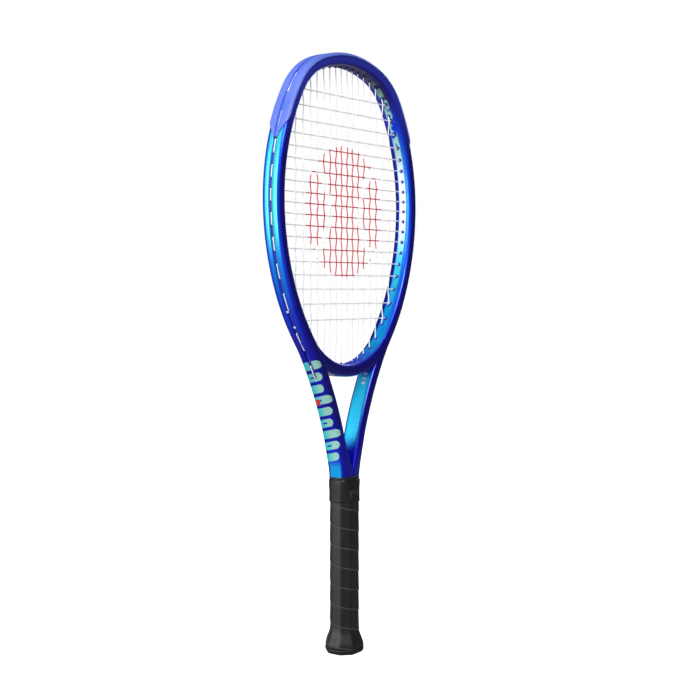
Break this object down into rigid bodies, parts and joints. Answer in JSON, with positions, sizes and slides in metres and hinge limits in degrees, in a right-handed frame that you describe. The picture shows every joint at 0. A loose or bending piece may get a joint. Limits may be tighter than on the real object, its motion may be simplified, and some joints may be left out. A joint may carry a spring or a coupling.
{
  "type": "tennis racket",
  "caption": "Full-size tennis racket: hollow moulded frame with open throat, strung oval head, bumper and grommet strips, and an octagonal wrapped handle with a flared butt cap.",
  "frame": {"origin": "centre of the butt cap's end face", "axes": "+Z along the racket from the butt to the head tip, +X across the string face, Y normal to the strings"},
  "size_m": [0.2684, 0.0414, 0.685],
  "materials": {
    "frame_paint": "gloss pearl lacquer over carbon fibre",
    "carbon": "bare moulded carbon fibre",
    "bumper": "moulded nylon, satin",
    "grommet": "moulded nylon",
    "string": "co-polyester monofilament, semi-gloss",
    "foam": "rigid moulded foam",
    "cap_plastic": "satin moulded plastic",
    "grip_tape": "perforated synthetic leather, matte",
    "tape": "adhesive cloth tape",
    "rubber": "matte rubber",
    "steel": "zinc-plated wire"
  },
  "bodies": {
    "racket": {"head_hoop": "frame_paint", "throat_shaft_left": "frame_paint", "throat_shaft_right": "frame_paint", "throat_bridge": "frame_paint", "handle_tubes": "carbon", "pallet_front": "foam", "pallet_back": "foam", "butt_cap": "cap_plastic", "butt_staples": "steel", "grip_tack": "steel", "base_grip": "grip_tape", "finishing_tape": "tape", "grip_collar": "rubber", "head_bumper_guard": "bumper", "grommet_strip_left": "grommet", "grommet_strip_right": "grommet", "bridge_grommet_strip": "grommet", "main_strings": "string", "cross_strings": "string", "string_knots": "string"},
    "door": {"butt_trap_door": "cap_plastic"}
  },
  "joints": [
    {"name": "trap_door_pull", "type": "slide", "parent": "racket", "child": "door", "axis": [0, 0, -1], "range_m": [0, 0.012]}
  ]
}
